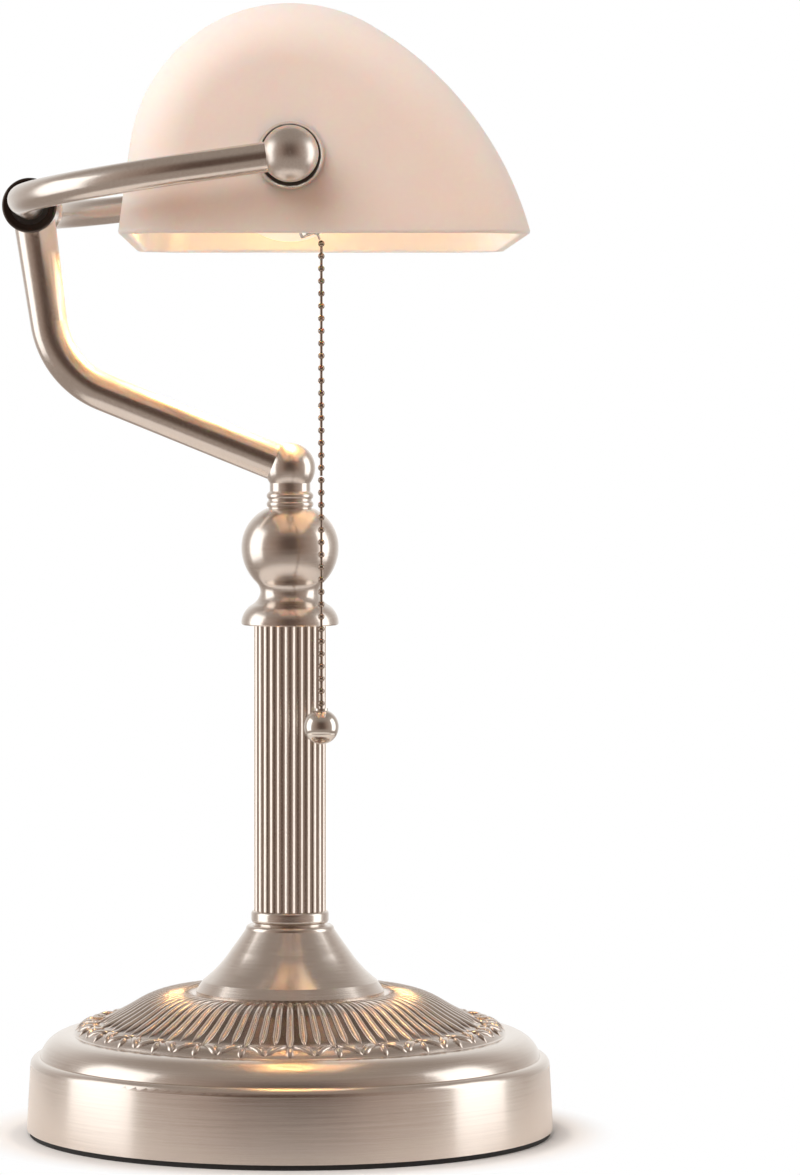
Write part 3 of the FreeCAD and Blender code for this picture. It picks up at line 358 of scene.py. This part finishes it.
def dress_nodes():
    """Give every CAD node the finish of its record slot, then some nodes one of their own."""
    finishes = {
        "satin_nickel": satin_nickel("satin_nickel_brushed", BRUSHING),
        "bright_nickel": bright_nickel(),
        "zinc_steel": plain_metal("zinc_steel", (0.42, 0.42, 0.40), (0.60, 0.60, 0.58), 0.25, 0.42),
        "black_steel": plain_metal("black_steel", (0.03, 0.03, 0.03), (0.07, 0.07, 0.07), 0.35, 0.5),
        "cast_iron": plain_metal("cast_iron", (0.05, 0.05, 0.05), (0.14, 0.14, 0.14), 0.5, 0.8,
                                 260, 0.6),
        "rubber_pad": moulded("rubber_pad", (0.010, 0.010, 0.010), (0.03, 0.03, 0.03), 0.7, 0.9),
        "rubber_washer": moulded("rubber_washer", (0.012, 0.012, 0.012), (0.035, 0.035, 0.035),
                                 0.55, 0.75),
        "black_plastic": moulded("black_plastic", (0.012, 0.010, 0.009), (0.035, 0.03, 0.027),
                                 0.35, 0.5),
        "phenolic": moulded("phenolic", (0.014, 0.011, 0.010), (0.04, 0.034, 0.03), 0.22, 0.34, 300),
        "fibre_liner": moulded("fibre_liner", (0.40, 0.28, 0.17), (0.58, 0.45, 0.30), 0.7, 0.85, 800),
        "brass": plain_metal("brass", (0.62, 0.44, 0.18), (0.83, 0.64, 0.32), 0.22, 0.34),
        "aluminium": plain_metal("aluminium", (0.66, 0.65, 0.63), (0.82, 0.81, 0.79), 0.22, 0.36),
        "solder": plain_metal("solder", (0.50, 0.50, 0.50), (0.68, 0.68, 0.68), 0.3, 0.5, 900, 0.3),
        "opal_glass": opal_glass(),
        "frosted_glass": frosted_bulb(),
    }
    for part in frame["record"]["subparts"]:
        assign(part["node"], finishes[part["material_slot"]])
    turned = satin_nickel("satin_nickel_turned", "turned")
    ball = satin_nickel("satin_nickel_ball", CASTING, (0.27, 0.36))
    # Painted reflection: the bright nickel chain is coloured dark brown, standing in for the dark
    # surroundings its beads reflect.
    painted_dark_chain = plain_metal("nickel_chain", (0.26, 0.20, 0.16), (0.44, 0.36, 0.30), 0.12, 0.24, 1200)
    own = {
        "base_cover": cover_nickel(),
        "base_trumpet": turned,
        "column_collar": turned,
        "column_tube": satin_nickel("satin_nickel_drawn", DRAWING),
        "column_cap": turned,
        "neck_elbow": turned,
        "yoke_sleeve": sleeve_nickel(),
        "arm_ball_left": ball,
        "arm_ball_right": ball,
        "cup_washers": cup_nickel(),
        "chain_upper": painted_dark_chain,
        "chain_lower": painted_dark_chain,
    }
    for node, material in own.items():
        assign(node, material)


# ---- new pieces --------------------------------------------------------------------------------
def new_piece(name, vertices, faces, material, body):
    """A smooth-shaded mesh that rides on a body."""
    mesh = bpy.data.meshes.new(name)
    mesh.from_pydata(vertices, [], faces)
    mesh.update()
    for polygon in mesh.polygons:
        polygon.use_smooth = True
    mesh.materials.append(material)
    piece = bpy.data.objects.new(name, mesh)
    bpy.context.scene.collection.objects.link(piece)
    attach(piece, body)


def around_z(radius, angle, z=0.0):
    return Vector((radius * math.cos(angle), radius * math.sin(angle), z))


def surface_of(node):
    """A function that gives the height of a node's upper surface at a radius and an angle."""
    mesh = NODES[node].data
    tree = BVHTree.FromPolygons([v.co for v in mesh.vertices], [p.vertices for p in mesh.polygons])
    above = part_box(node)[1][2] + 10 * MM

    def height(radius, angle):
        start = around_z(radius, angle, above)
        return tree.ray_cast(start, Vector((0, 0, -1)))[0].z

    return height


MOTIFS = 28
RIBS_PER_MOTIF = 3
RIB_STEPS = 14
RIB_WIDTH = 0.35           # half of a rib's width, as a share of the ribs' spacing
RIB_HEIGHT = 0.95 * MM
RIB_START_SHARE = 0.25     # the ribs start at this share of their height
RIB_RISE = 12 * MM         # and would grow by a full height over this length
POINT_STEPS = 6
POINT_IN = 0.8 * MM        # half widths of the inner and outer line of a point, and of the diamond
POINT_OUT = 1.15 * MM
DIAMOND = 1.25 * MM
RIB_ROOT = 0.35 * MM       # how deep a rib's underside sits in the cover
RIB_PROFILE = ((-1.0, -0.25), (-0.85, 0.5), (-0.4, 0.93), (0.4, 0.93), (0.85, 0.5), (1.0, -0.25))


def add_rib(vertices, faces, height_at, path):
    """A rounded bead along a path of (radius, angle, half width, height share)."""
    first = len(vertices)
    count = len(RIB_PROFILE) + 1
    for i, (radius, angle, half, share) in enumerate(path):
        before = path[max(i - 1, 0)]
        after = path[min(i + 1, len(path) - 1)]
        along = (around_z(*after[:2]) - around_z(*before[:2])).normalized()
        side = Vector((-along.y, along.x, 0))
        center = around_z(radius, angle)
        for across, up in RIB_PROFILE:
            place = center + side * across * half
            ground = height_at(place.length, math.atan2(place.y, place.x))
            vertices.append((place.x, place.y, ground + up * share * RIB_HEIGHT))
        ground = height_at(radius, angle)
        vertices.append((center.x, center.y, ground - RIB_ROOT))
    for i in range(len(path) - 1):
        for j in range(count):
            a = first + i * count + j
            b = first + i * count + (j + 1) % count
            faces.append((a, b, b + count, a + count))
    faces.append(tuple(first + j for j in reversed(range(count))))
    last = first + (len(path) - 1) * count
    faces.append(tuple(last + j for j in range(count)))


def swelling(share, start, rate):
    """1 along most of a bead, falling off towards both of its ends."""
    return math.sin(math.pi * min(1.0, start + rate * min(share, 1 - share)) / 2)


def straight_rib(start, end, angle):
    """Path of a radial bead that widens with its radius and has rounded ends."""
    pitch = 2 * math.pi / (RIBS_PER_MOTIF * MOTIFS)
    path = []
    for i in range(RIB_STEPS + 1):
        share = i / RIB_STEPS
        radius = start + (end - start) * share
        swell = swelling(share, 0.06, 5)
        rise = min(1.0, RIB_START_SHARE + (radius - start) / RIB_RISE)
        path.append((radius, angle, radius * pitch * RIB_WIDTH * swell, swell * rise))
    return path


def slanted_rib(start, end, half):
    """Path of a short bead between two (radius, angle) points."""
    path = []
    for i in range(POINT_STEPS + 1):
        share = i / POINT_STEPS
        swell = swelling(share, 0.1, 4)
        radius = start[0] + (end[0] - start[0]) * share
        angle = start[1] + (end[1] - start[1]) * share
        path.append((radius, angle, half * swell, swell))
    return path


def make_band_ornament(material):
    """Pressed petals on the base's dome: ribs from the trumpet's lip out to a zigzag of points."""
    height_at = surface_of("base_cover")
    vertices = []
    faces = []
    period = 2 * math.pi / MOTIFS

    def add(path):
        add_rib(vertices, faces, height_at, path)

    for i in range(MOTIFS):
        center = math.pi + (i + 0.5) * period
        edge = center + period / 2
        for side in (-1, 1):
            add(straight_rib(BAND_START, RIB_END, center + side * period / 6))
        add(straight_rib(BAND_START, FORK + 0.8 * MM, edge))
        for side in (-1, 1):
            reach = side * period
            inner = (FORK - 1.2 * MM, edge + 0.05 * reach), (TIP - 2.2 * MM, edge + 0.47 * reach)
            outer = (FORK + 0.6 * MM, edge + 0.06 * reach), (TIP, edge + 0.49 * reach)
            add(slanted_rib(*inner, POINT_IN))
            add(slanted_rib(*outer, POINT_OUT))
        add(slanted_rib((TIP - 3.0 * MM, edge), (TIP + 0.6 * MM, edge), DIAMOND))
    new_piece("band_ornament", vertices, faces, material, "stand")


# ---- stage -------------------------------------------------------------------------------------
FLOOR_RADIUS = 0.25
FLOOR_SIDES = 96
FLOOR_FADE = (0.089, 0.112)    # the floor turns into the white backdrop between these radii


def make_floor():
    """Small pale floor under the lamp that runs out into the white surround."""
    mesh = bpy.data.meshes.new("floor")
    ground = cad_box[0][2]
    turns = [2 * math.pi * i / FLOOR_SIDES for i in range(FLOOR_SIDES)]
    rim = [tuple(around_z(FLOOR_RADIUS, turn, ground)) for turn in turns]
    mesh.from_pydata(rim, [], [tuple(range(FLOOR_SIDES))])
    floor = bpy.data.objects.new("floor", mesh)
    bpy.context.scene.collection.objects.link(floor)
    recipe = Recipe("floor", Roughness=0.7)
    speckle = recipe.noise(recipe.stretched((30, 30, 30)))
    recipe.set("Base Color", recipe.blend(speckle, (0.90, 0.89, 0.88), (0.93, 0.92, 0.91)))
    fade = recipe.step(recipe.length(recipe.position()), *FLOOR_FADE)
    glow = recipe.add("ShaderNodeEmission", {"Color": (1, 1, 1, 1), "Strength": 1.0})
    seen = recipe.add("ShaderNodeLightPath").outputs["Is Camera Ray"]
    share = recipe.math("MULTIPLY", fade, seen)
    mix = recipe.add("ShaderNodeMixShader", {0: share, 1: recipe.shader.outputs[0], 2: glow.outputs[0]})
    recipe.tree.links.new(mix.outputs[0], recipe.tree.nodes["Material Output"].inputs[0])
    mesh.materials.append(recipe.material)


SOFTBOX_HEIGHT = 1.3
LAMP_MIDDLE = (0, 0, 0.2)
BULB_GLOW = 6.5            # watts that only polished metal sees
BULB_LIGHT = 0.7           # watts that light the glass and everything else


def add_light(kind, name, place, watts, color):
    data = bpy.data.lights.new(name, kind)
    data.energy = watts
    data.color = color
    light = bpy.data.objects.new(name, data)
    bpy.context.scene.collection.objects.link(light)
    light.location = place
    return light


def add_softbox(name, place, width, height, watts, color=(1.0, 1.0, 1.0)):
    """Rectangular light that faces the lamp."""
    light = add_light("AREA", name, place, watts, color)
    light.data.shape = "RECTANGLE"
    light.data.size = width
    light.data.size_y = height
    aim = Vector(LAMP_MIDDLE) - Vector(place)
    light.rotation_euler = aim.to_track_quat("-Z", "Y").to_euler()
    return light


def add_bulb_light(name, watts, color):
    """Round light inside the bulb."""
    low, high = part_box("bulb_envelope")
    radius = (high[1] - low[1]) / 2
    light = add_light("POINT", name, (high[0] - radius, 0, (low[2] + high[2]) / 2), watts, color)
    light.data.shadow_soft_size = 0.9 * radius
    light.data.use_soft_falloff = False
    light.visible_camera = False
    return light


def make_lights():
    add_softbox("softbox_left", (0.0, 1.2, 0.35), 0.9, SOFTBOX_HEIGHT, 4.0)
    add_softbox("softbox_right", (0.0, -1.2, 0.35), 0.7, SOFTBOX_HEIGHT, 3.3)
    fill = add_softbox("fill", (-0.9, 0.5, 1.1), 1.0, 1.0, 12.0, (1.0, 0.97, 0.95))
    fill.visible_glossy = False
    glow = add_bulb_light("bulb_glow", BULB_GLOW, (1.0, 0.56, 0.20))
    glow.visible_diffuse = False
    glow.visible_transmission = False
    light = add_bulb_light("bulb_light", BULB_LIGHT, (1.0, 0.89, 0.79))
    light.visible_glossy = False
    NODES["bulb_envelope"].visible_shadow = False


# Brightness of the surround by the cosine of the angle from the camera's side (-1 is behind the lamp).
SURROUND = ((-1.0, (1.0, 0.99, 0.97)), (-0.85, (0.75, 0.71, 0.68)), (-0.6, (0.52, 0.46, 0.42)),
            (-0.2, (0.80, 0.77, 0.74)), (0.15, (0.80, 0.77, 0.74)), (0.42, (0.50, 0.42, 0.37)),
            (0.8, (0.32, 0.24, 0.20)), (0.95, (0.16, 0.11, 0.09)), (1.0, (0.11, 0.075, 0.06)))
CEILING = (0.36, 0.31, 0.275)
CEILING_HEIGHTS = (0.35, 0.9)      # sines of the heights between which the surround turns into it
TABLE = (0.40, 0.34, 0.30)
TABLE_HEIGHTS = (-0.08, -0.45)


def make_world():
    """Studio surround: white behind and beside the lamp, darker and warmer on the camera's side."""
    world = bpy.data.worlds.new("studio")
    world.use_nodes = True
    bpy.context.scene.world = world
    recipe = Recipe.of(world)
    recipe.tree.nodes.clear()
    direction = recipe.add("ShaderNodeTexCoord").outputs["Generated"]
    height = recipe.split(direction)[2]
    behind = recipe.split(recipe.direction(recipe.flattened(direction, 0, 1)))[0]
    share = recipe.range(behind, 0.0, 1.0, 1.0, -1.0)
    ring = recipe.add("ShaderNodeValToRGB", {0: share})
    stops = ring.color_ramp.elements
    while len(stops) < len(SURROUND):
        stops.new(0.5)
    for stop, (cosine, color) in zip(stops, SURROUND):
        stop.position = (cosine + 1) / 2
        stop.color = (*color, 1)
    sky = recipe.blend(recipe.step(height, *CEILING_HEIGHTS), ring.outputs[0], CEILING)
    room = recipe.blend(recipe.step(height, *TABLE_HEIGHTS), sky, TABLE)
    surround = recipe.add("ShaderNodeBackground", {0: room})
    backdrop = recipe.add("ShaderNodeBackground", {0: (1, 1, 1, 1), 1: 1.0})
    seen = recipe.add("ShaderNodeLightPath").outputs["Is Camera Ray"]
    mix = recipe.add("ShaderNodeMixShader", {0: seen, 1: surround.outputs[0], 2: backdrop.outputs[0]})
    recipe.add("ShaderNodeOutputWorld", {0: mix.outputs[0]})


# ---- the scene ---------------------------------------------------------------------------------
bpy.context.scene.view_settings.view_transform = "Standard"
make_camera()
dress_nodes()
make_band_ornament(satin_nickel("satin_nickel_pressed", PRESSING, (0.13, 0.22)))
make_floor()
make_lights()
make_world()
